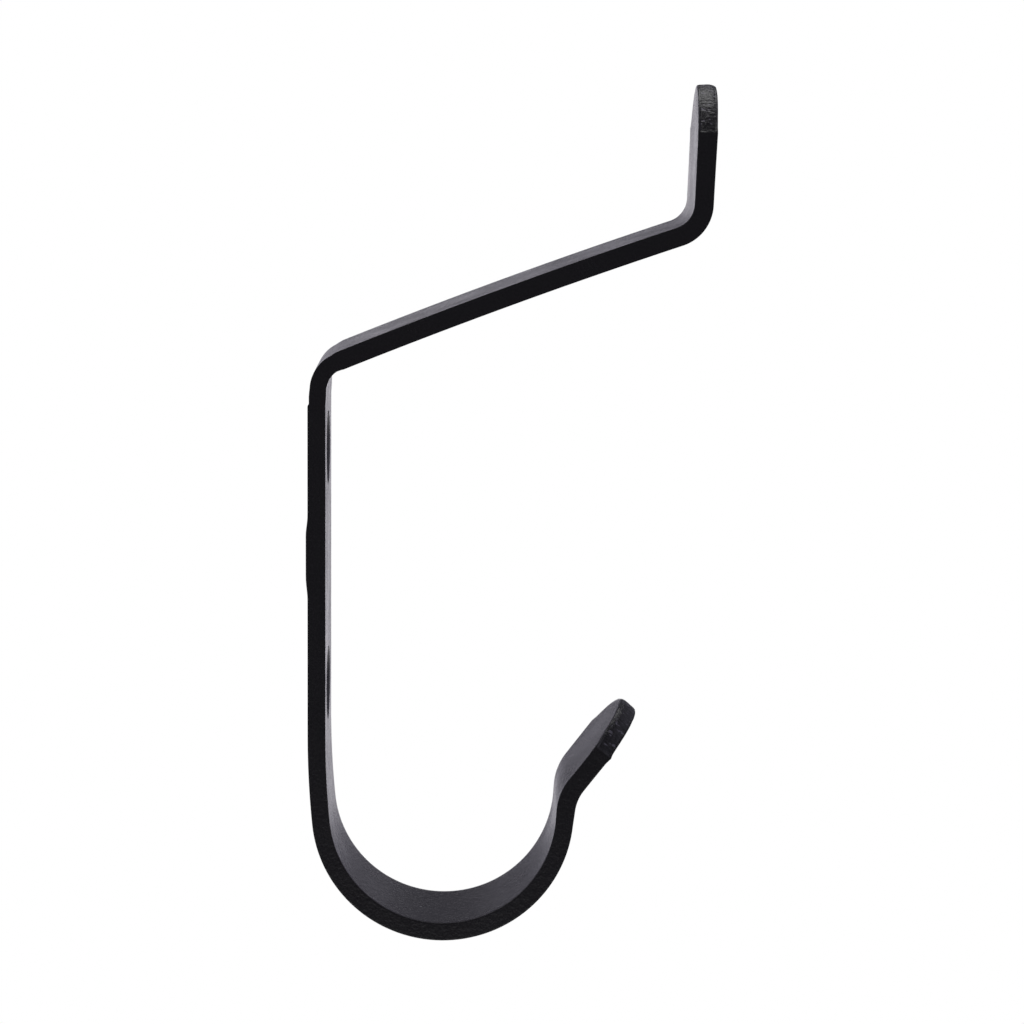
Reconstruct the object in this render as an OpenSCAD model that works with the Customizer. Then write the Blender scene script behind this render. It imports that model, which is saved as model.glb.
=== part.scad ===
/* [Strip] */
// Width of the strip
strip_w = 20; // [16:0.5:26]
// Thickness of the back plate and of the hook
strip_t = 2.65; // [2.2:0.05:3.2]
// Thickness of the arm and of the flare
limb_t = 2.8; // [2.2:0.05:3.4]
// Thickness at the two sheared ends
end_t = 2.95; // [2.2:0.05:3.6]
// Height of the rounded nose at each end
nose_h = 7; // [3:0.1:7.5]

/* [Back plate] */
// Distance between the two screw holes
hole_pitch = 36; // [30:0.5:60]
// Flat from the upper hole's centre to the arm's corner
margin_top = 8.6; // [7:0.1:20]
// Flat from the lower hole's centre to the start of the hook
margin_bottom = 6.3; // [6.2:0.1:20]

/* [Screw holes] */
// Diameter of each screw hole
bore_d = 6; // [4:0.1:7]
// Diameter of the countersink at the front face
sink_d = 11.2; // [8:0.1:12]
// Depth of the countersink
sink_depth = 2.1; // [1:0.1:2.1]

/* [Wall swell] */
// How far the swell between the holes stands off the back of the plate
swell_h = 0.4; // [0.1:0.05:0.8]
// Length of the flat on the swell
swell_flat = 6.1; // [2:0.1:10]
// Length of the run-out at each end of the swell
swell_runout = 3.4; // [1:0.1:5]
// Height of the swell's middle above the middle of the two holes
swell_rise = 2.6; // [0:0.1:3]

/* [Arm] */
// Angle by which the strip turns from the plate into the arm
arm_turn = 67.8; // [50:0.2:80]
// Radius of that corner, at the middle of the strip's thickness
arm_corner_r = 4.4; // [3:0.1:10]
// Thickness to which the strip draws down at the middle of that corner
corner_t = 2.4; // [1.8:0.05:2.6]
// Length of the easy shoulder on each side of that corner
shoulder_l = 1.2; // [0.5:0.1:3]
// Angle through which each shoulder turns
shoulder_turn = 3.9; // [1:0.1:10]
// Thickness where each shoulder meets the corner
shoulder_t = 2.45; // [2.1:0.05:2.8]
// Length of the arm
arm_l = 53.1; // [30:0.1:80]
// Angle through which the arm is bowed along its length
arm_bow = 3.5; // [0:0.1:8]

/* [Prong] */
// Angle by which the strip turns up from the arm into the prong
prong_turn = 69; // [50:1:85]
// Radius of that bend, at the middle of the strip's thickness
prong_bend_r = 5.1; // [3:0.1:10]
// Straight length of the prong, from its bend to the top of its nose
prong_l = 17.5; // [12:0.1:30]

/* [Hook] */
// Angle of the easy curve that leads from the plate into the hook
entry_turn = 5.7; // [2:0.1:10]
// Length of that curve
entry_l = 13.5; // [5:0.1:20]
// Inside radius of the hook
hook_r = 17; // [10:0.5:30]
// Angle through which the hook is rolled
hook_turn = 168.5; // [120:0.5:175]
// Straight rise from the hook to the flare
rise_l = 2.2; // [1:0.1:8]

/* [Flare] */
// Angle by which the end flares outwards
flare_turn = 32; // [10:1:50]
// Radius of that bend, at the middle of the strip's thickness
flare_bend_r = 7.8; // [3:0.1:12]
// Straight length of the flare, from its bend to the top of its nose
flare_l = 13.3; // [10:0.1:30]

/* [Hidden] */
$fn = 120;

// Most that the outline turns from one point to the next, in degrees
facet_turn = 3;
// Fewest points along a curved piece
facet_min = 4;
// Points along each run-out of the swell
runout_steps = 8;
// Room that a cutting shape has beyond what it cuts
spare = 1;

// Radius of a nose that is nose_h high on a strip of this width
nose_r = (nose_h ^ 2 + (strip_w / 2) ^ 2) / (2 * nose_h);
// Widening of the countersink for each millimetre towards its mouth
sink_slope = (sink_d - bore_d) / 2 / sink_depth;
// Angle of each half of the arm's corner, and its length along the middle of the strip
half_turn = arm_turn / 2 - shoulder_turn;
half_l = arc_length(arm_corner_r, half_turn);

// The strip follows a path in the XZ plane. A station on it is [x, z, heading, thickness],
// and a piece of it is [length, turn, thickness at its end], with left turns positive.
// Each path runs on beyond the top of its nose by spare, for the shears to cut.

function arc_length(radius, turn) = radius * abs(turn) * PI / 180;

function chord(length, turn) = turn == 0 ? length : length * sin(turn / 2) / (turn / 2 * PI / 180);

function steps(piece) = piece[1] == 0 ? 1 : max(facet_min, ceil(abs(piece[1]) / facet_turn));

// Smooth run from 0 to 1
function ease(share) = (1 - cos(180 * share)) / 2;

// Station at a share of the way along a piece that starts at station s
function along(s, piece, share) =
    let (turn = piece[1] * share, reach = chord(piece[0] * share, turn), aim = s[2] + turn / 2)
    [s[0] + reach * cos(aim), s[1] + reach * sin(aim), s[2] + turn,
     s[3] + (piece[2] - s[3]) * ease(share)];

// All stations from s on, through the pieces from number i to the last
function trace(s, pieces, i = 0) =
    i == len(pieces) ? [s] : concat(
        [for (k = [0 : steps(pieces[i]) - 1]) along(s, pieces[i], k / steps(pieces[i]))],
        trace(along(s, pieces[i], 1), pieces, i + 1));

// Point on the left (side = 1) or right (side = -1) face at station s
function face_point(s, side) = [s[0], s[1]] + side * s[3] / 2 * [-sin(s[2]), cos(s[2])];

function left_face(path) = [for (s = path) face_point(s, 1)];

function right_face(path) = [for (s = path) face_point(s, -1)];

function reversed(list) = [for (i = [len(list) - 1 : -1 : 0]) list[i]];

// Upwards from the plate: the corner between its two shoulders, arm, bend and prong
plate_x = swell_h + strip_t / 2;
upper = trace([plate_x, hole_pitch / 2 + margin_top, 90, strip_t], [
    [shoulder_l, -shoulder_turn, shoulder_t],
    [half_l, -half_turn, corner_t],
    [half_l, -half_turn, shoulder_t],
    [shoulder_l, -shoulder_turn, limb_t],
    [arm_l, -arm_bow, limb_t],
    [arc_length(prong_bend_r, prong_turn), prong_turn, limb_t],
    [prong_l + spare, 0, end_t]
]);

// Downwards from the plate: entry curve, hook, rise, bend and flare
lower = trace([plate_x, -hole_pitch / 2 - margin_bottom, -90, strip_t], [
    [entry_l, entry_turn, strip_t],
    [arc_length(hook_r + strip_t / 2, hook_turn), hook_turn, strip_t],
    [rise_l, 0, limb_t],
    [arc_length(flare_bend_r, flare_turn), -flare_turn, limb_t],
    [flare_l + spare, 0, end_t]
]);

// Swell on the wall side of the plate, from its lower end up: it runs out smoothly both ways
swell = [
    for (side = [-1, 1])
        for (k = [0 : runout_steps])
            let (share = side < 0 ? k / runout_steps : 1 - k / runout_steps)
            [swell_h * (1 - ease(share)),
             swell_rise + side * (swell_flat / 2 + swell_runout * (1 - share))]
];

// The bent strip at its full width, with square ends
module bent_strip() {
    rotate([90, 0, 0]) linear_extrude(strip_w, center = true)
        polygon(concat(
            reversed(right_face(lower)), swell, left_face(upper),
            reversed(right_face(upper)), left_face(lower)));
}

// What is sheared off the square end at station s to leave a rounded nose
module nose_waste(s) {
    waste_t = s[3] + 2 * spare;
    half_w = nose_r + spare;
    nose_centre = -spare - nose_r;
    translate([s[0], 0, s[1]]) rotate([0, -s[2], 0]) translate([nose_centre, 0, 0])
        difference() {
            translate([0, -half_w, -waste_t / 2])
                cube([nose_r + 2 * spare, 2 * half_w, waste_t]);
            cylinder(h = waste_t + spare, r = nose_r, center = true);
        }
}

// Screw hole with its countersink, open towards +X from the front of the plate
module screw_hole() {
    front_x = swell_h + strip_t;
    translate([front_x, 0, 0]) rotate([0, -90, 0]) {
        cylinder(h = front_x + spare, d = bore_d);
        translate([0, 0, -spare])
            cylinder(h = sink_depth + spare, d1 = sink_d + 2 * spare * sink_slope, d2 = bore_d);
    }
}

// Strip bent into a double hook, which lies against the wall at x = 0
module strap() {
    color("#1d1c1e") difference() {
        bent_strip();
        for (path = [upper, lower])
            nose_waste(path[len(path) - 1]);
        for (side = [-1, 1])
            translate([0, 0, side * hole_pitch / 2]) screw_hole();
    }
}

strap();
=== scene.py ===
"""Coat hook: one flat steel strip, pierced, sheared round at its ends, bent into a double hook
and powder coated black. It is made as it is in the workshop: a flat blank first, then the bends."""

import math

import bmesh
import bpy
from mathutils import Matrix, Vector, noise


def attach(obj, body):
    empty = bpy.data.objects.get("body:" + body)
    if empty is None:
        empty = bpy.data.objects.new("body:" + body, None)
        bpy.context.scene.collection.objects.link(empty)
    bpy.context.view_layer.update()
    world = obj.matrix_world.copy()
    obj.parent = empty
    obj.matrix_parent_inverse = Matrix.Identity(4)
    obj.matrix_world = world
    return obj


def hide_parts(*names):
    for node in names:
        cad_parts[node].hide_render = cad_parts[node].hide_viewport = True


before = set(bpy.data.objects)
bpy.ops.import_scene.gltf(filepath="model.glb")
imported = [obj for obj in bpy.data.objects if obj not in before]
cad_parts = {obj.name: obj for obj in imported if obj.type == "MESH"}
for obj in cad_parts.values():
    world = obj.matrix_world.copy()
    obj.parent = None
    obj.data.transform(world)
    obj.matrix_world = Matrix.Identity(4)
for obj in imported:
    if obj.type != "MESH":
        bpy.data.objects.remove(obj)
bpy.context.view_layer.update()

MM = 0.001  # the strip's sizes below are in millimetres, and bend() turns them into metres

# Strip
STRIP_W = 20.0
HALF_W = STRIP_W / 2
STRIP_T = 2.65
HALF_T = STRIP_T / 2
LIMB_T = 2.8
END_T = 2.95
NOSE_H = 7.0
NOSE_R = (NOSE_H ** 2 + HALF_W ** 2) / (2 * NOSE_H)
EDGE_R = 0.26  # rounding that the coat gives every outer edge
HOLE_EDGE_R = 0.12

# Back plate, with height 0 midway between its screw holes
PLATE_TOP = 26.6
PLATE_BOTTOM = -24.3
HOLE_HEIGHTS = (-18.0, 18.0)
MOUTH_R = 5.6
BORE_R = 3.0
SINK_DEPTH = 2.1

# Swell on the wall side
SWELL_H = 0.4
SWELL_MIDDLE = 2.6
SWELL_FLAT = 6.1
SWELL_RUNOUT = 3.4
SWELL_CROWN = 0.4  # share of its height that it loses at the strip's edges
SWELL_CROWN_POWER = 6

# Mark that the bending die leaves on the wall side above the upper hole
DIE_MARK_START = 25.1
DIE_MARK_STEP = 0.35
DIE_MARK_ROWS = 4  # rows in that step
DIE_MARK_DEPTH = 0.2
DIE_MARK_END = 33.5

# Steel that the tight corner pushes up on its inside, with heights measured along the flat blank
UPSET_MIDDLE = 29.2
UPSET_REACH = 4.6
UPSET_H = 0.24

# Path of the strip's middle: (length, turn in degrees, thickness at the end)
CORNER_R = 4.4
CORNER_HALF_TURN = 30.0
CORNER_T = 2.4
SHOULDER = (1.2, -3.9)
SHOULDER_T = 2.45
HOOK_R = 17.0 + HALF_T
PRONG_L = 17.5
FLARE_L = 13.3
RUN_ON = 1.0  # the taper runs on past the end of the nose


def arc(radius, turn, thickness):
    """A bend of that radius, as a piece of the path."""
    return (radius * math.radians(abs(turn)), turn, thickness)


UPPER = [
    (*SHOULDER, SHOULDER_T),
    arc(CORNER_R, -CORNER_HALF_TURN, CORNER_T),
    arc(CORNER_R, -CORNER_HALF_TURN, SHOULDER_T),
    (*SHOULDER, LIMB_T),
    (53.1, -3.5, LIMB_T),
    arc(5.1, 69.0, LIMB_T),
    (PRONG_L + RUN_ON, 0.0, END_T),
]
LOWER = [
    (13.5, 5.7, STRIP_T),
    arc(HOOK_R, 168.5, STRIP_T),
    (2.2, 0.0, LIMB_T),
    arc(7.8, -32.0, LIMB_T),
    (FLARE_L + RUN_ON, 0.0, END_T),
]

# Mesh of the blank
ROW_GAP = 1.2
ROW_TURN = 2.5  # most that the strip turns from row to row, in degrees
TILE = 7.0  # half the side of the square round each screw hole
TILE_CELLS = 24
TILE_RINGS = (0.5, 1.0)  # shares of the way in at which the rings of faces end
TILE_CLEAR = 0.3  # least room between that square and the rows of the hook
EDGE_COLUMNS = (7.9, 8.7, 9.35, HALF_W)
NOSE_ROWS = 20
FIRST_NOSE_ROW = 0.04  # share of the nose's height
KNEE_GAP = 0.3  # from each knee to the next row towards the plate
WALL_CUTS = 8
EDGE_SEGMENTS = 4
SHARP = math.radians(30)
MOUTH_REACH = 0.1  # what lies this close round a hole's mouth belongs to the hole
SLACK = 0.01  # for comparing places that should be the same
ROUND_OFF = 1e-6  # keeps a whole number of steps whole

# Sheared ends: the shears met the strip's front face first, and left a burr on its back
FRONT_ROLL = 0.28
BACK_ROLL = 0.1
ROLL_REACH = 0.9
END_CROWN = 0.16  # how far the end face falls back towards its two edges
END_CROWN_POWER = 4
TEAR_START = 2.4  # way past the knee over which roll, crown and tear reach their full depth
MASK_START = TEAR_START / 4  # the same for the broken coat
TEAR_DEPTH = 0.08
TEAR_SIZE = 2.4
TEAR_SEED = Vector((3.1, 7.7, 1.9))
TEAR_NOISE = (0.6, 2.0, 3)  # its dimension, lacunarity and octaves
TEAR_BASE = 0.5  # added to the noise, of which what is then below 0 leaves the face whole
LEDGE = 0.06  # step down from the strip's back edge to the torn face
LEDGE_REACH = 0.3
LEDGE_SPAN = (0.3, 0.6)  # shares of the thickness, from the back, between which it runs out
SHEAR_SKIN = 0.9 * EDGE_R  # what lies less deep than this is on the sheared face itself
BURR_H = 0.14  # at the near side of the lower nose
FAR_BURR_H = 0.03  # at the other three knees
BURR_L = 0.7


# ---------------------------------------------------------------- helpers

def finish_mesh(bm, name):
    mesh = bpy.data.meshes.new(name)
    bm.to_mesh(mesh)
    bm.free()
    return mesh


def add_object(name, data):
    """Object with that data, placed in the scene."""
    thing = bpy.data.objects.new(name, data)
    bpy.context.scene.collection.objects.link(thing)
    return thing


# ---------------------------------------------------------------- path of the bent strip

def ease(share):
    """Smooth run from 0 to 1."""
    return (1 - math.cos(math.pi * share)) / 2


def smooth_step(value, start, stop):
    """0 before start, 1 after stop, and a smooth run between them."""
    return ease(min(max((value - start) / (stop - start), 0.0), 1.0))


def side_of(u):
    """1 above the middle of the plate, -1 below it."""
    return 1 if u > 0 else -1


def follow(station, piece, share):
    """Station (x, z, heading in radians, thickness) at a share of the way along a piece."""
    x, z, heading, thickness = station
    length, turn, end_thickness = piece
    turn = math.radians(turn) * share
    reach = length * share * (math.sin(turn / 2) / (turn / 2) if turn else 1.0)
    aim = heading + turn / 2
    return (
        x + reach * math.cos(aim),
        z + reach * math.sin(aim),
        heading + turn,
        thickness + (end_thickness - thickness) * ease(share),
    )


def station_at(u):
    """Station at height u of the flat blank, and 1 above the plate's middle or -1 below it."""
    side = side_of(u)
    start = PLATE_TOP if side > 0 else PLATE_BOTTOM
    plate_x = SWELL_H + HALF_T
    if (u - start) * side <= 0:
        return (plate_x, u, side * math.pi / 2, STRIP_T), side
    station = (plate_x, start, side * math.pi / 2, STRIP_T)
    left = abs(u - start)
    for piece in UPPER if side > 0 else LOWER:
        if left <= piece[0]:
            return follow(station, piece, left / piece[0]), side
        left -= piece[0]
        station = follow(station, piece, 1.0)
    return station, side


def swell_at(u, y):
    """How far the swell stands out towards the wall."""
    out = abs(u - SWELL_MIDDLE) - SWELL_FLAT / 2
    crown = 1 - SWELL_CROWN * abs(y / HALF_W) ** SWELL_CROWN_POWER
    return SWELL_H * crown * (1 - smooth_step(out, 0.0, SWELL_RUNOUT))


def die_mark_at(u):
    """How far the bending die has sunk the strip's wall side."""
    start = smooth_step(u, DIE_MARK_START, DIE_MARK_START + DIE_MARK_STEP)
    return DIE_MARK_DEPTH * start * (1 - smooth_step(u, PLATE_TOP, DIE_MARK_END))


def upset_at(u):
    """How far the inside of the arm's corner is thickened."""
    return UPSET_H * (1 - smooth_step(abs(u - UPSET_MIDDLE), 0.0, UPSET_REACH))


def front_share(t):
    """0 on the blank's back and 1 on its front."""
    return 0.5 + t / STRIP_T


def bend(point):
    """Place, in metres, of a point (height, across, towards the front) of the flat blank."""
    u, y, t = point
    (x, z, heading, thickness), side = station_at(u)
    front = front_share(t)
    out = t * thickness / STRIP_T + front * upset_at(u)
    out += (1 - front) * (die_mark_at(u) - swell_at(u, y))
    x += side * out * math.sin(heading)
    z -= side * out * math.cos(heading)
    return Vector((x, y, z)) * MM


# ---------------------------------------------------------------- flat blank

def path_length(pieces):
    return sum(piece[0] for piece in pieces) - RUN_ON


UPPER_KNEE = PLATE_TOP + path_length(UPPER) - NOSE_H
LOWER_KNEE = PLATE_BOTTOM - path_length(LOWER) + NOSE_H


def knee_of(u):
    """Height of the nearer nose's knee, where its round outline starts."""
    return UPPER_KNEE if u > 0 else LOWER_KNEE


def fill(start, stop, gap):
    """Even steps from start up to, and without, stop, none longer than gap."""
    count = math.ceil(abs(stop - start) / gap - ROUND_OFF)
    return [start + (stop - start) * k / count for k in range(count)]


def rows_along(pieces, start, knee):
    """Rows from the plate's end to the nose's knee, close together in the bends."""
    side = side_of(knee)
    rows = []
    u = start
    for length, turn, _ in pieces:
        stop = u + side * length
        if (stop - knee) * side > 0:
            stop = knee
        gap = min(ROW_GAP, length * ROW_TURN / abs(turn)) if turn else ROW_GAP
        rows += fill(u, stop, gap)
        u = stop
    return rows


def nose_rows(knee):
    """Rows from the knee to the top of the nose: the first lies close to the knee."""
    shares = [0.0, FIRST_NOSE_ROW] + [k / NOSE_ROWS for k in range(1, NOSE_ROWS + 1)]
    return [knee + side_of(knee) * NOSE_H * share for share in shares]


def blank_rows():
    """Heights of all rows of the blank, from the lower nose up to the upper one."""
    lower = rows_along(LOWER, PLATE_BOTTOM, LOWER_KNEE)
    hole_low, hole_high = HOLE_HEIGHTS
    rows = [u for u in lower if u < hole_low - TILE - TILE_CLEAR] + nose_rows(LOWER_KNEE)
    rows.append(LOWER_KNEE + KNEE_GAP)
    cell = 2 * TILE / TILE_CELLS
    rows += fill(hole_low - TILE, hole_low + TILE, cell)
    rows += fill(hole_low + TILE, hole_high - TILE, ROW_GAP / 2)
    rows += fill(hole_high - TILE, hole_high + TILE, cell)
    rows += fill(hole_high + TILE, PLATE_TOP, DIE_MARK_STEP / DIE_MARK_ROWS)
    rows += rows_along(UPPER, PLATE_TOP, UPPER_KNEE)
    rows.append(UPPER_KNEE - KNEE_GAP)
    rows += nose_rows(UPPER_KNEE)
    return sorted(rows)


def blank_columns():
    """Places of the columns across the blank."""
    middle = fill(-TILE, TILE, 2 * TILE / TILE_CELLS) + [TILE]
    return [-y for y in reversed(EDGE_COLUMNS)] + middle + list(EDGE_COLUMNS)


def nose_point(u, y, knee):
    """Moves a point of the square end onto the rounded nose, by way of a half disc."""
    side = side_of(knee)
    along = (u - knee) * side / NOSE_H
    across = y / HALF_W
    disc_across = across * math.sqrt(1 - along ** 2 / 2)
    disc_along = along * math.sqrt(1 - across ** 2 / 2)
    y = disc_across * HALF_W
    height = math.sqrt(NOSE_R ** 2 - y ** 2) - (NOSE_R - NOSE_H)
    share = disc_along / math.sqrt(1 - disc_across ** 2)
    return knee + side * height * share, y


def make_skin(bm):
    """Flat face of the blank: a grid whose ends are drawn into the two noses."""
    rows = blank_rows()
    columns = blank_columns()
    bmesh.ops.create_grid(bm, x_segments=len(rows) - 1, y_segments=len(columns) - 1, size=1)
    for v in bm.verts:
        u = rows[round((v.co.x + 1) / 2 * (len(rows) - 1))]
        y = columns[round((v.co.y + 1) / 2 * (len(columns) - 1))]
        if u > UPPER_KNEE or u < LOWER_KNEE:
            u, y = nose_point(u, y, knee_of(u))
        v.co = (u, y, HALF_T)


def pierce(bm, height):
    """Cuts a round hole of the countersink's size into the skin, with even faces round it."""
    def in_tile(point):
        return abs(point.x - height) < TILE + SLACK and abs(point.y) < TILE + SLACK

    tile = [f for f in bm.faces if in_tile(f.calc_center_median())]
    bmesh.ops.delete(bm, geom=tile, context="FACES")
    rim = [e for e in bm.edges if e.is_boundary and all(in_tile(v.co) for v in e.verts)]
    for share in TILE_RINGS:
        made = bmesh.ops.extrude_edge_only(bm, edges=rim)["geom"]
        for v in (g for g in made if isinstance(g, bmesh.types.BMVert)):
            square = v.co.copy()
            set_radius(v, height, MOUTH_R)
            v.co = square.lerp(v.co, share)
        rim = [g for g in made if isinstance(g, bmesh.types.BMEdge)]


def hole_of(point):
    """Height of the screw hole that the point belongs to, or None."""
    for height in HOLE_HEIGHTS:
        if math.hypot(point.x - height, point.y) < MOUTH_R + MOUTH_REACH:
            return height
    return None


def set_radius(v, height, radius):
    """Moves a vertex to that distance from the hole's axis."""
    arm = Vector((v.co.x - height, v.co.y, 0)).normalized() * radius
    v.co = (height + arm.x, arm.y, v.co.z)


def thicken(bm):
    """Gives the skin the strip's thickness, the holes their countersinks, and the walls rows."""
    made = bmesh.ops.extrude_face_region(bm, geom=bm.faces[:])["geom"]
    back = [v for v in made if isinstance(v, bmesh.types.BMVert)]
    bmesh.ops.translate(bm, verts=back, vec=(0, 0, -STRIP_T))
    for v in back:
        if hole_of(v.co) is not None:
            set_radius(v, hole_of(v.co), BORE_R)
    upright = [e for e in bm.edges if abs(e.verts[0].co.z - e.verts[1].co.z) > HALF_T]
    hole_edges = [e for e in upright if hole_of(e.verts[0].co) is not None]
    outer_edges = [e for e in upright if hole_of(e.verts[0].co) is None]
    cut = bmesh.ops.subdivide_edges(bm, edges=hole_edges, cuts=1, use_grid_fill=True)
    for v in (g for g in cut["geom_inner"] if isinstance(g, bmesh.types.BMVert)):
        set_radius(v, hole_of(v.co), BORE_R)
        v.co.z = HALF_T - SINK_DEPTH
    bmesh.ops.subdivide_edges(bm, edges=outer_edges, cuts=WALL_CUTS, use_grid_fill=True)


def round_edges(bm):
    """Rounds the outer edges of the strip, and less so those of the holes."""
    sharp = [e for e in bm.edges if e.calc_face_angle() > SHARP]
    of_holes = [e for e in sharp if hole_of(e.verts[0].co) is not None]
    outer = [e for e in sharp if hole_of(e.verts[0].co) is None]
    for edges, radius in ((outer, EDGE_R), (of_holes, HOLE_EDGE_R)):
        bmesh.ops.bevel(bm, geom=edges, offset=radius, offset_type="OFFSET", affect="EDGES",
                        segments=EDGE_SEGMENTS, profile=0.5, material=-1, clamp_overlap=True)


def nose_depth(point):
    """How deep a point lies inside the outline of a nose, or None where there is no nose."""
    if LOWER_KNEE < point.x < UPPER_KNEE:
        return None
    beyond = abs(point.x - knee_of(point.x))
    return NOSE_R - math.hypot(beyond + NOSE_R - NOSE_H, point.y)


def torn_depth(place, beyond, front):
    """How far the end face lies inside the outline of the nose, beyond its knee."""
    tear = noise.fractal(place / TEAR_SIZE + TEAR_SEED, *TEAR_NOISE)
    crown = END_CROWN * abs(2 * front - 1) ** END_CROWN_POWER
    ledge = LEDGE * smooth_step(beyond, 0.0, LEDGE_REACH) * (1 - smooth_step(front, *LEDGE_SPAN))
    begin = smooth_step(beyond, 0.0, TEAR_START)
    return begin * (crown + TEAR_DEPTH * max(TEAR_BASE + tear, 0.0)) + ledge


def shear(bm):
    """Rolls the edges of the sheared ends and tears their faces."""
    torn = bm.verts.layers.float.new("sheared")
    for v in bm.verts:
        depth = nose_depth(v.co)
        if depth is None or depth > ROLL_REACH:
            continue
        knee = knee_of(v.co.x)
        beyond = abs(v.co.x - knee)
        front = front_share(v.co.z)
        near = (1 - max(depth, 0.0) / ROLL_REACH) ** 2
        roll = smooth_step(beyond, 0.0, TEAR_START) * near
        v.co.z -= roll * (FRONT_ROLL * front - BACK_ROLL * (1 - front))
        if depth < SHEAR_SKIN:
            v[torn] = smooth_step(beyond, 0.0, MASK_START)
            inward = Vector((knee - v.co.x, -v.co.y, 0)).normalized()
            v.co += inward * torn_depth(v.co, beyond, front)


def raise_burrs(bm):
    """Lifts the back's edges beside the knees, where the shears left them."""
    for v in bm.verts:
        knee = knee_of(v.co.x)
        along = abs(v.co.x - knee) / BURR_L
        across = (HALF_W - abs(v.co.y)) / BURR_L
        if along < 1 and across < 1:
            back = 1 - front_share(v.co.z)
            height = BURR_H if knee < 0 and v.co.y < 0 else FAR_BURR_H
            v.co.z -= height * back * (1 - smooth_step(along, 0.0, 1.0)) * (1 - across)


def keep_blank_places(bm):
    """Stores each vertex's place in the flat blank, in millimetres, for the materials."""
    places = bm.verts.layers.float_vector.new("blank")
    for v in bm.verts:
        v[places] = v.co


def make_strap():
    """The whole hook: the blank is finished flat and then bent."""
    bm = bmesh.new()
    make_skin(bm)
    for height in HOLE_HEIGHTS:
        pierce(bm, height)
    thicken(bm)
    round_edges(bm)
    shear(bm)
    raise_burrs(bm)
    keep_blank_places(bm)
    bmesh.ops.recalc_face_normals(bm, faces=bm.faces)
    for v in bm.verts:
        v.co = bend(v.co)
    bmesh.ops.reverse_faces(bm, faces=bm.faces)  # bend() mirrors the blank, so its faces look in
    for f in bm.faces:
        f.smooth = True
    strap = add_object("strap_coated", finish_mesh(bm, "strap_coated"))
    strap.modifiers.new("even_shading", "WEIGHTED_NORMAL")
    return strap


# ---------------------------------------------------------------- materials

def new_material(name):
    material = bpy.data.materials.new(name)
    material.use_nodes = True
    tree = material.node_tree
    tree.nodes.clear()
    return material, tree


def add_node(tree, kind, **settings):
    node = tree.nodes.new("ShaderNode" + kind)
    for name, value in settings.items():
        setattr(node, name, value)
    return node


def plug(tree, value, socket):
    """Links a socket to another one, or sets it to a plain value."""
    if isinstance(value, bpy.types.NodeSocket):
        tree.links.new(value, socket)
    else:
        socket.default_value = value


def calculate(tree, operation, first, second=0.0):
    """Math node; each input is a socket or a number."""
    node = add_node(tree, "Math", operation=operation)
    plug(tree, first, node.inputs[0])
    plug(tree, second, node.inputs[1])
    return node.outputs[0]


def add_noise(tree, place, scale, detail):
    node = add_node(tree, "TexNoise")
    node.inputs["Scale"].default_value = scale
    node.inputs["Detail"].default_value = detail
    tree.links.new(place, node.inputs["Vector"])
    return node.outputs["Fac"]


def remap(tree, value, old_low, old_high, new_low, new_high):
    """Clamped run between two new values."""
    node = add_node(tree, "MapRange", clamp=True)
    tree.links.new(value, node.inputs["Value"])
    for name, number in zip(("From Min", "From Max", "To Min", "To Max"),
                            (old_low, old_high, new_low, new_high)):
        node.inputs[name].default_value = number
    return node.outputs["Result"]


# Where the Mix node keeps its two inputs and its result, for each kind of value
MIX_SLOTS = {"FLOAT": (2, 3, 0), "RGBA": (6, 7, 2)}


def blend(tree, share, first, second, kind="RGBA"):
    """Mix of two colours or of two numbers; each is a socket or a value."""
    first_slot, second_slot, result = MIX_SLOTS[kind]
    node = add_node(tree, "Mix", data_type=kind)
    plug(tree, share, node.inputs["Factor"])
    plug(tree, first, node.inputs[first_slot])
    plug(tree, second, node.inputs[second_slot])
    return node.outputs[result]


COAT_DARK = (0.0066, 0.0063, 0.0065, 1)
COAT_PALE = (0.0112, 0.0107, 0.0111, 1)
TORN_DARK = (0.0026, 0.0024, 0.0034, 1)
# bare steel of the torn grooves, made paler by a painted glint
TORN_STEEL_AND_GLINT = (0.1, 0.094, 0.116, 1)
# painted shade: the nibs are coloured dark for the shaded side that a raised speck shows
NIB_PAINTED_SHADE = TORN_DARK

# Noises of the coat and of the torn steel: (scale per millimetre, detail)
GRAIN = (3.2, 2.0)
PEEL = (1.5, 1.0)
PATCHES = (0.12, 3.0)
TEAR = (1.0, 6.0)
CRUMBS = (2.4, 2.0)
TEAR_STRETCH = (2.0, 2.0, 0.9)  # drawn out through the thickness
CRUMB_SHARE = 0.45

# Depths that they give the surface, in millimetres, and the height of the coat's few nibs
GRAIN_DEPTH = 0.018
PEEL_DEPTH = 0.036
GROOVE_DEPTH = 0.22
NIB_H = 0.035

# Values of a pattern between which what it steers runs from one end to the other
GRAIN_TONE = (0.35, 0.7)
GRAIN_SPAN = (0.3, 0.7)
PATCH_SPAN = (0.3, 0.7)
GROOVE_SPAN = (0.82, 0.87)
TORN_SPAN = (0.95, 1.2)  # distances from the middle of the thickness, in millimetres

NIB_SCALE = 0.16
NIB_RIM = (0.02, 0.045)  # distances from a nib's middle, as shares of the nibs' spacing
PATCH_ROUGHNESS = (0.17, 0.23)
GRAIN_ROUGHNESS = 0.06
SHEARED_ROUGHNESS = 0.07


def nib_mask(tree, blank):
    """1 in the middle of each nib, a speck that stands out of the coat and whose side's shade is
    painted on it as a dark colour.
    """
    cells = add_node(tree, "TexVoronoi")
    cells.inputs["Scale"].default_value = NIB_SCALE
    tree.links.new(blank, cells.inputs["Vector"])
    return remap(tree, cells.outputs["Distance"], *NIB_RIM, 1.0, 0.0)


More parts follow.
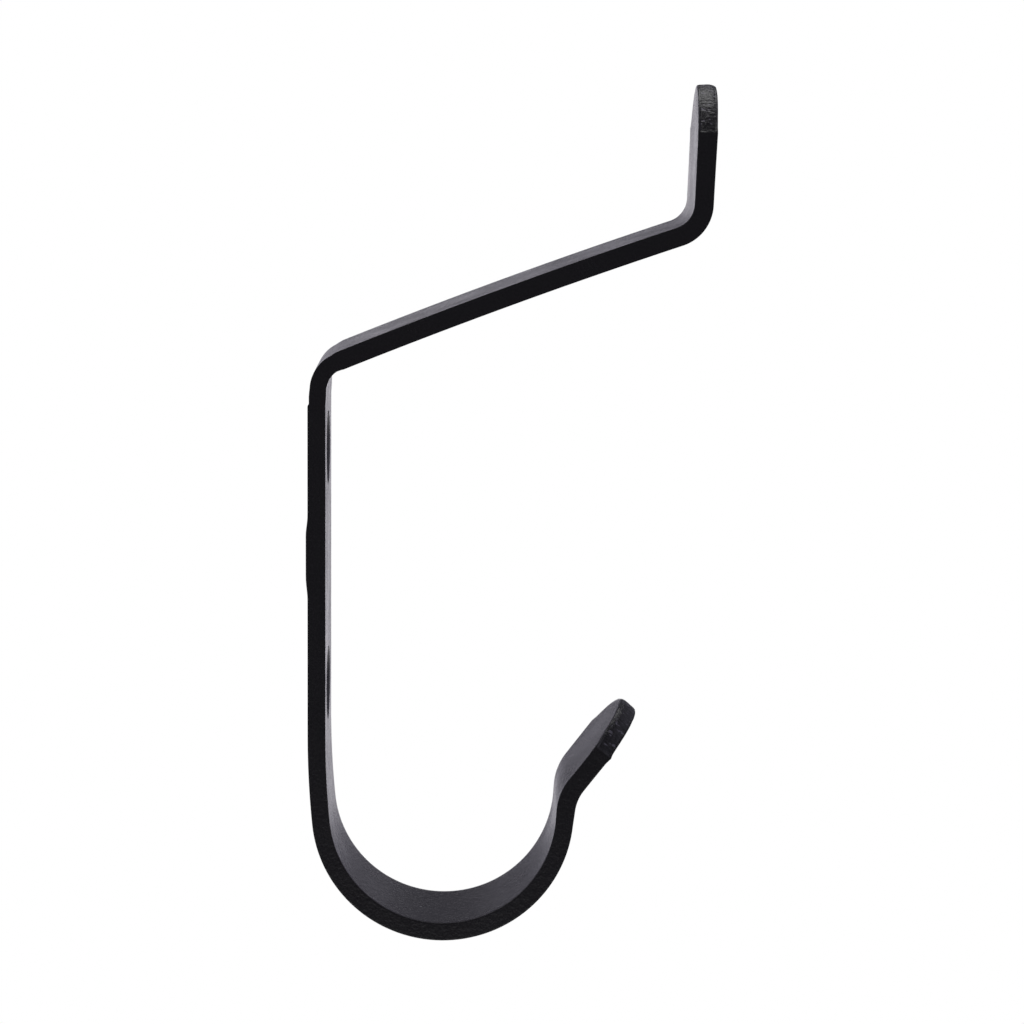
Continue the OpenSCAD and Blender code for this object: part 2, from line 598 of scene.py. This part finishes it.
def torn_pattern(tree, blank):
    """Ragged grooves of the torn steel, drawn out the way the shears went."""
    stretch = add_node(tree, "Mapping")
    stretch.inputs["Scale"].default_value = TEAR_STRETCH
    tree.links.new(blank, stretch.inputs["Vector"])
    tear = add_noise(tree, stretch.outputs["Vector"], *TEAR)
    crumbs = calculate(tree, "MULTIPLY", add_noise(tree, blank, *CRUMBS), CRUMB_SHARE)
    return calculate(tree, "ADD", tear, crumbs)


def torn_mask(tree, blank, sheared):
    """1 on the middle of the sheared faces, where the coat is broken."""
    through = add_node(tree, "SeparateXYZ")
    tree.links.new(blank, through.inputs[0])
    off_middle = calculate(tree, "ABSOLUTE", through.outputs["Z"])
    middle = remap(tree, off_middle, *TORN_SPAN, 1.0, 0.0)
    return calculate(tree, "MULTIPLY", sheared, middle)


def coat_colour(tree, grain, nib, tear, torn_share):
    """Colour of the coat, with painted shade on its nibs, and of the bare steel at the bottom of
    the deepest grooves, paled further as a painted glint.
    """
    coat = blend(tree, remap(tree, grain, *GRAIN_TONE, 0.0, 1.0), COAT_DARK, COAT_PALE)
    # painted shade on the nibs, which also stand out through the bump
    coat = blend(tree, nib, coat, NIB_PAINTED_SHADE)
    # bare steel with a painted glint, in the deepest grooves of the torn faces
    groove = remap(tree, tear, *GROOVE_SPAN, 0.0, 1.0)
    torn = blend(tree, calculate(tree, "MULTIPLY", torn_share, groove), TORN_DARK, TORN_STEEL_AND_GLINT)
    return blend(tree, torn_share, coat, torn)


def coat_roughness(tree, blank, grain, sheared):
    patches = add_noise(tree, blank, *PATCHES)
    roughness = remap(tree, patches, *PATCH_SPAN, *PATCH_ROUGHNESS)
    grainy = remap(tree, grain, *GRAIN_SPAN, 0.0, GRAIN_ROUGHNESS)
    roughness = calculate(tree, "ADD", roughness, grainy)
    worn = calculate(tree, "MULTIPLY", sheared, SHEARED_ROUGHNESS)
    return calculate(tree, "ADD", roughness, worn)


def coat_depth(tree, blank, grain, nib, tear, torn_share):
    """Depth of the surface, in millimetres."""
    depth = calculate(tree, "MULTIPLY", grain, GRAIN_DEPTH)
    peel = add_noise(tree, blank, *PEEL)
    depth = calculate(tree, "ADD", depth, calculate(tree, "MULTIPLY", peel, PEEL_DEPTH))
    depth = calculate(tree, "SUBTRACT", depth, calculate(tree, "MULTIPLY", nib, NIB_H))
    groove = calculate(tree, "MULTIPLY", tear, GROOVE_DEPTH)
    return calculate(tree, "ADD", depth, calculate(tree, "MULTIPLY", groove, torn_share))


def powder_coat():
    """Fine-grained black powder coat, thin and broken over the sheared ends."""
    material, tree = new_material("powder_coat")
    output = add_node(tree, "OutputMaterial")
    shader = add_node(tree, "BsdfPrincipled")
    bump = add_node(tree, "Bump", invert=True)
    bump.inputs["Distance"].default_value = MM
    blank = add_node(tree, "Attribute", attribute_name="blank").outputs["Vector"]
    sheared = add_node(tree, "Attribute", attribute_name="sheared").outputs["Fac"]
    grain = add_noise(tree, blank, *GRAIN)
    nib = nib_mask(tree, blank)
    tear = torn_pattern(tree, blank)
    torn_share = torn_mask(tree, blank, sheared)
    colour = coat_colour(tree, grain, nib, tear, torn_share)
    roughness = coat_roughness(tree, blank, grain, sheared)
    depth = coat_depth(tree, blank, grain, nib, tear, torn_share)
    tree.links.new(colour, shader.inputs["Base Color"])
    tree.links.new(roughness, shader.inputs["Roughness"])
    tree.links.new(depth, bump.inputs["Height"])
    tree.links.new(bump.outputs["Normal"], shader.inputs["Normal"])
    tree.links.new(shader.outputs["BSDF"], output.inputs["Surface"])
    return material


# ---------------------------------------------------------------- studio, in metres

CAMERA_PLACE = Vector((0.0263, -0.5194, 0.07873))
CAMERA_YAW = math.radians(0.494)
CAMERA_PITCH = math.radians(7.728)
CAMERA_ROLL = math.radians(0.425)
CAMERA_LENS = 122.0
CAMERA_SENSOR = 36.0
CAMERA_CLIP = (0.01, 20)

FLOOR_HEIGHT = -0.30
FLOOR_HALF = 0.7
FLOOR_COLOUR = (0.8, 0.8, 0.8, 1)
FLOOR_GLOW = 0.5
FLOOR_SHEEN = 0.3  # share of the glow that a reflection shows
FLOOR_FADE = (0.1, 0.55)  # distances between which the glow grows to the backdrop's white

# Room: a dim one with paler sides, and a bright patch that lies low at its back. The spans are of
# the parts of a direction: sideways, to the back and up.
WHITE = (1.0, 1.0, 1.0, 1)
ROOM_COLOUR = (0.85, 0.82, 1.0, 1)
BACK_COLOUR = (0.975, 0.945, 1.0, 1)
AMBIENT = 0.13
SIDE_LIGHT = 0.5
SIDE_SPAN = (0.35, 0.9)
BACK_LIGHT = 1.1
BACK_DEPTH = (0.5, 0.7)
BACK_WIDTH = (0.06, 0.22)
BACK_HEIGHT = (0.0, 0.12)

# Softboxes: name, place, size and power
SOFTBOXES = (
    ("key", (0.0, 0.3, 0.8), 0.7, 3),
    ("fill", (-0.55, -0.45, 0.6), 0.5, 2.2),
)
SOFTBOX_AIM = (0.03, 0, 0.01)


def make_camera():
    data = bpy.data.cameras.new("camera")
    data.lens = CAMERA_LENS
    data.sensor_width = CAMERA_SENSOR
    data.clip_start, data.clip_end = CAMERA_CLIP
    camera = add_object("camera", data)
    turn = Matrix.Rotation(-CAMERA_YAW, 4, "Z")
    tilt = Matrix.Rotation(math.pi / 2 - CAMERA_PITCH, 4, "X")
    roll = Matrix.Rotation(CAMERA_ROLL, 4, "Z")
    camera.matrix_world = Matrix.Translation(CAMERA_PLACE) @ turn @ tilt @ roll
    bpy.context.scene.camera = camera


def studio_white():
    """Floor: it shows its shadows, and is otherwise as white as the backdrop."""
    material, tree = new_material("studio_white")
    output = add_node(tree, "OutputMaterial")
    paper = add_node(tree, "BsdfDiffuse")
    paper.inputs["Color"].default_value = FLOOR_COLOUR
    glow = add_node(tree, "Emission")
    path = add_node(tree, "LightPath")
    mirrored = calculate(tree, "MULTIPLY", path.outputs["Is Glossy Ray"], FLOOR_SHEEN)
    seen = calculate(tree, "MAXIMUM", path.outputs["Is Camera Ray"], mirrored)
    seen = calculate(tree, "MAXIMUM", seen, path.outputs["Is Transmission Ray"])
    distance = add_node(tree, "VectorMath", operation="LENGTH")
    tree.links.new(add_node(tree, "TexCoord").outputs["Object"], distance.inputs[0])
    share = remap(tree, distance.outputs["Value"], *FLOOR_FADE, FLOOR_GLOW, 1.0)
    share = calculate(tree, "MULTIPLY", seen, share)
    mix = add_node(tree, "AddShader")
    tree.links.new(share, glow.inputs["Strength"])
    tree.links.new(paper.outputs["BSDF"], mix.inputs[0])
    tree.links.new(glow.outputs["Emission"], mix.inputs[1])
    tree.links.new(mix.outputs["Shader"], output.inputs["Surface"])
    return material


def make_floor():
    """Square of floor, far enough below the hook to leave no shadow beside it."""
    bm = bmesh.new()
    bmesh.ops.create_grid(bm, x_segments=1, y_segments=1, size=FLOOR_HALF)
    floor = add_object("floor", finish_mesh(bm, "floor"))
    floor.location.z = FLOOR_HEIGHT
    floor.data.materials.append(studio_white())


def room_light(tree):
    """The room's strength in each direction, and the bright patch's share of it."""
    split = add_node(tree, "SeparateXYZ")
    tree.links.new(add_node(tree, "TexCoord").outputs["Generated"], split.inputs[0])
    sideways = calculate(tree, "ABSOLUTE", split.outputs["X"])
    behind = remap(tree, split.outputs["Y"], *BACK_DEPTH, 0.0, 1.0)
    middle = remap(tree, sideways, *BACK_WIDTH, 1.0, 0.0)
    low = remap(tree, split.outputs["Z"], *BACK_HEIGHT, 1.0, 0.0)
    patch = calculate(tree, "MULTIPLY", behind, calculate(tree, "MULTIPLY", middle, low))
    sides = remap(tree, sideways, *SIDE_SPAN, AMBIENT, SIDE_LIGHT)
    return calculate(tree, "ADD", calculate(tree, "MULTIPLY", patch, BACK_LIGHT), sides), patch


def make_world():
    """White backdrop for the camera, and the room's light for everything else."""
    world = bpy.data.worlds.new("studio")
    bpy.context.scene.world = world
    world.use_nodes = True
    tree = world.node_tree
    tree.nodes.clear()
    output = add_node(tree, "OutputWorld")
    camera_ray = add_node(tree, "LightPath").outputs["Is Camera Ray"]
    room, patch = room_light(tree)
    room_colour = blend(tree, patch, ROOM_COLOUR, BACK_COLOUR)
    backdrop = add_node(tree, "Background")
    plug(tree, blend(tree, camera_ray, room_colour, WHITE), backdrop.inputs["Color"])
    plug(tree, blend(tree, camera_ray, room, 1.0, "FLOAT"), backdrop.inputs["Strength"])
    tree.links.new(backdrop.outputs["Background"], output.inputs["Surface"])


def add_softbox(name, place, size, power):
    """Square lamp that faces the middle of the hook."""
    data = bpy.data.lights.new(name, "AREA")
    data.shape = "SQUARE"
    data.size = size
    data.energy = power
    lamp = add_object(name, data)
    lamp.location = place
    lamp.rotation_mode = "QUATERNION"
    aim = Vector(SOFTBOX_AIM) - Vector(place)
    lamp.rotation_quaternion = aim.to_track_quat("-Z", "Y")


strap = make_strap()
strap.data.materials.append(powder_coat())
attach(strap, "root")
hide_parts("strap")

make_camera()
make_floor()
make_world()
for softbox in SOFTBOXES:
    add_softbox(*softbox)
bpy.context.scene.view_settings.view_transform = "Standard"
